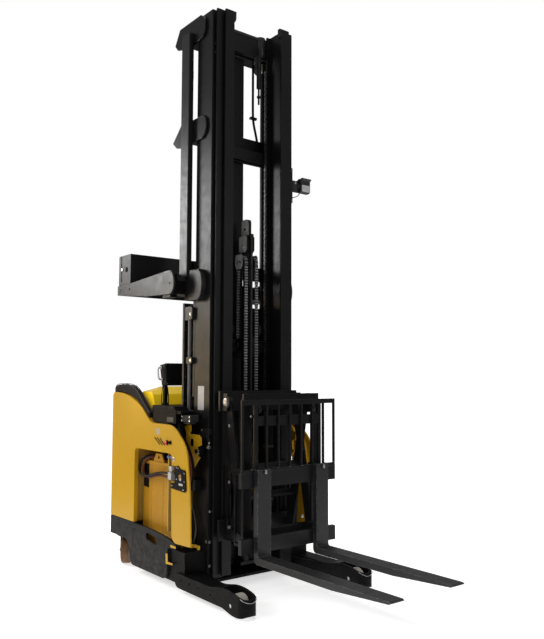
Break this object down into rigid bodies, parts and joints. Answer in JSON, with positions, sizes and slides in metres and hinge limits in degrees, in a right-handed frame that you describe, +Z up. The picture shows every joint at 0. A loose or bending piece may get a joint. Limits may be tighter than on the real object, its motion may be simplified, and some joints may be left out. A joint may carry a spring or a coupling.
{
  "type": "stand-up reach truck",
  "caption": "Narrow-aisle stand-up reach truck with nested telescopic mast, scissor reach carriage and forks, base legs, side battery window and overhead guard.",
  "frame": {"origin": "on the floor, at the middle of the truck's bounding box", "axes": "+X forward towards the fork tips, +Y to the truck's left, +Z up along the mast"},
  "size_m": [2.616, 1.076, 3.864],
  "materials": {
    "body_paint": "satin",
    "gloss_cover": "gloss",
    "mast_black": "satin",
    "dark_grey": "matte",
    "black_plastic": "matte",
    "pad_vinyl": "matte",
    "battery_case": "satin",
    "fork_steel": "satin",
    "rod_chrome": "polished",
    "axle_steel": "satin",
    "caster_tread": "matte",
    "load_tread": "matte",
    "drive_tread": "matte",
    "floor_mat": "matte",
    "lamp_metal": "satin",
    "tinted_sheet": "gloss",
    "black_cable": "matte",
    "red_cable": "matte",
    "grey_plastic": "matte",
    "red_plastic": "gloss"
  },
  "bodies": {
    "root": {"base_frame": "dark_grey", "rear_deck": "dark_grey", "battery_compartment": "body_paint", "battery": "battery_case", "battery_lugs": "battery_case", "base_legs": "mast_black", "load_wheel_axles": "axle_steel", "side_panels": "body_paint", "battery_gates": "dark_grey", "rear_skirt": "dark_grey", "operator_floor": "floor_mat", "side_pad": "pad_vinyl", "drive_hood": "gloss_cover", "front_cowl": "gloss_cover", "console": "black_plastic", "display_terminal": "black_plastic", "outer_mast": "mast_black", "mast_crossbeams": "mast_black", "lift_cylinders": "mast_black", "mast_brackets": "mast_black", "mast_stays": "mast_black", "guard_arms": "mast_black", "guard_crossbeam": "mast_black", "guard_bars": "mast_black", "guard_header": "mast_black", "mast_screen": "mast_black", "mast_ties": "body_paint", "work_light": "lamp_metal", "battery_cable_black": "black_cable", "battery_cable_red": "red_cable", "body_hose_black": "black_cable", "body_hose_red": "red_cable", "side_cable": "black_cable", "battery_connector": "grey_plastic", "panel_buttons": "red_plastic", "screen_pane": "tinted_sheet", "hose_guard": "mast_black"},
    "mast_middle": {"middle_mast": "mast_black", "middle_crossbeams": "mast_black", "lift_rods": "rod_chrome"},
    "mast_inner": {"inner_mast": "mast_black", "inner_crossbeams": "mast_black", "free_lift_cylinder": "mast_black"},
    "lift_head": {"free_lift_head": "mast_black"},
    "carriage": {"lift_carriage": "mast_black"},
    "reach_outer": {"reach_arms_outer": "mast_black"},
    "reach_inner": {"reach_arms_inner": "mast_black"},
    "reach_front": {"reach_frame": "mast_black"},
    "forks": {"fork_carriage": "mast_black", "backrest_rails": "mast_black", "backrest_bars": "mast_black", "forks": "fork_steel"},
    "load_wheel_r": {"load_wheel_right": "load_tread"},
    "load_wheel_l": {"load_wheel_left": "load_tread"},
    "caster": {"caster_fork": "axle_steel"},
    "caster_roller": {"caster_wheel": "caster_tread"},
    "drive": {"drive_unit": "dark_grey"},
    "drive_roller": {"drive_wheel": "drive_tread"},
    "tiller": {"steering_tiller": "black_plastic"}
  },
  "joints": [
    {"name": "mast_middle_lift", "type": "slide", "parent": "root", "child": "mast_middle", "axis": [0, 0, 1], "range_m": [0, 3.05]},
    {"name": "mast_inner_lift", "type": "slide", "parent": "mast_middle", "child": "mast_inner", "axis": [0, 0, 1], "range_m": [0, 3.05]},
    {"name": "carriage_lift", "type": "slide", "parent": "mast_inner", "child": "carriage", "axis": [0, 0, 1], "range_m": [-0.18, 2.58]},
    {"name": "lift_head_travel", "type": "slide", "parent": "mast_inner", "child": "lift_head", "axis": [0, 0, 1], "range_m": [-0.09, 1.29]},
    {"name": "reach", "type": "hinge", "parent": "carriage", "child": "reach_outer", "pos_m": [-0.079, 0, 1.2], "axis": [0, -1, 0], "range_deg": [0, 45]},
    {"name": "reach_cross", "type": "hinge", "parent": "reach_outer", "child": "reach_inner", "pos_m": [-0.00607, 0, 0.78638], "axis": [0, 1, 0], "range_deg": [0, 90]},
    {"name": "reach_front_pin", "type": "hinge", "parent": "reach_inner", "child": "reach_front", "pos_m": [0.06686, 0, 1.2], "axis": [0, -1, 0], "range_deg": [0, 45]},
    {"name": "fork_tilt", "type": "hinge", "parent": "reach_front", "child": "forks", "pos_m": [0.158, 0, 1.16], "axis": [0, -1, 0], "range_deg": [-3, 4]},
    {"name": "load_wheel_right_spin", "type": "hinge", "parent": "root", "child": "load_wheel_r", "pos_m": [0.296, -0.463, 0.06], "axis": [0, 1, 0], "continuous": true},
    {"name": "load_wheel_left_spin", "type": "hinge", "parent": "root", "child": "load_wheel_l", "pos_m": [0.296, 0.463, 0.06], "axis": [0, 1, 0], "continuous": true},
    {"name": "caster_swivel", "type": "hinge", "parent": "root", "child": "caster", "pos_m": [-1.183, -0.42, 0.2], "axis": [0, 0, 1], "continuous": true},
    {"name": "caster_spin", "type": "hinge", "parent": "caster", "child": "caster_roller", "pos_m": [-1.1593, -0.43839, 0.095], "axis": [0.613, 0.7901, 0], "continuous": true},
    {"name": "drive_steer", "type": "hinge", "parent": "root", "child": "drive", "pos_m": [-1.094, 0.27, 0.33], "axis": [0, 0, 1], "range_deg": [-90, 90]},
    {"name": "drive_spin", "type": "hinge", "parent": "drive", "child": "drive_roller", "pos_m": [-1.094, 0.27, 0.15], "axis": [0, 1, 0], "continuous": true},
    {"name": "tiller_turn", "type": "hinge", "parent": "root", "child": "tiller", "pos_m": [-1.084, 0.255, 1.3], "axis": [0, 0, 1], "range_deg": [-360, 360]}
  ],
  "couplings": [
    {"joint": "mast_inner_lift", "follows": "mast_middle_lift", "ratio": 1},
    {"joint": "lift_head_travel", "follows": "carriage_lift", "ratio": 0.5},
    {"joint": "reach_cross", "follows": "reach", "ratio": 2},
    {"joint": "reach_front_pin", "follows": "reach", "ratio": 1},
    {"joint": "tiller_turn", "follows": "drive_steer", "ratio": 4}
  ]
}
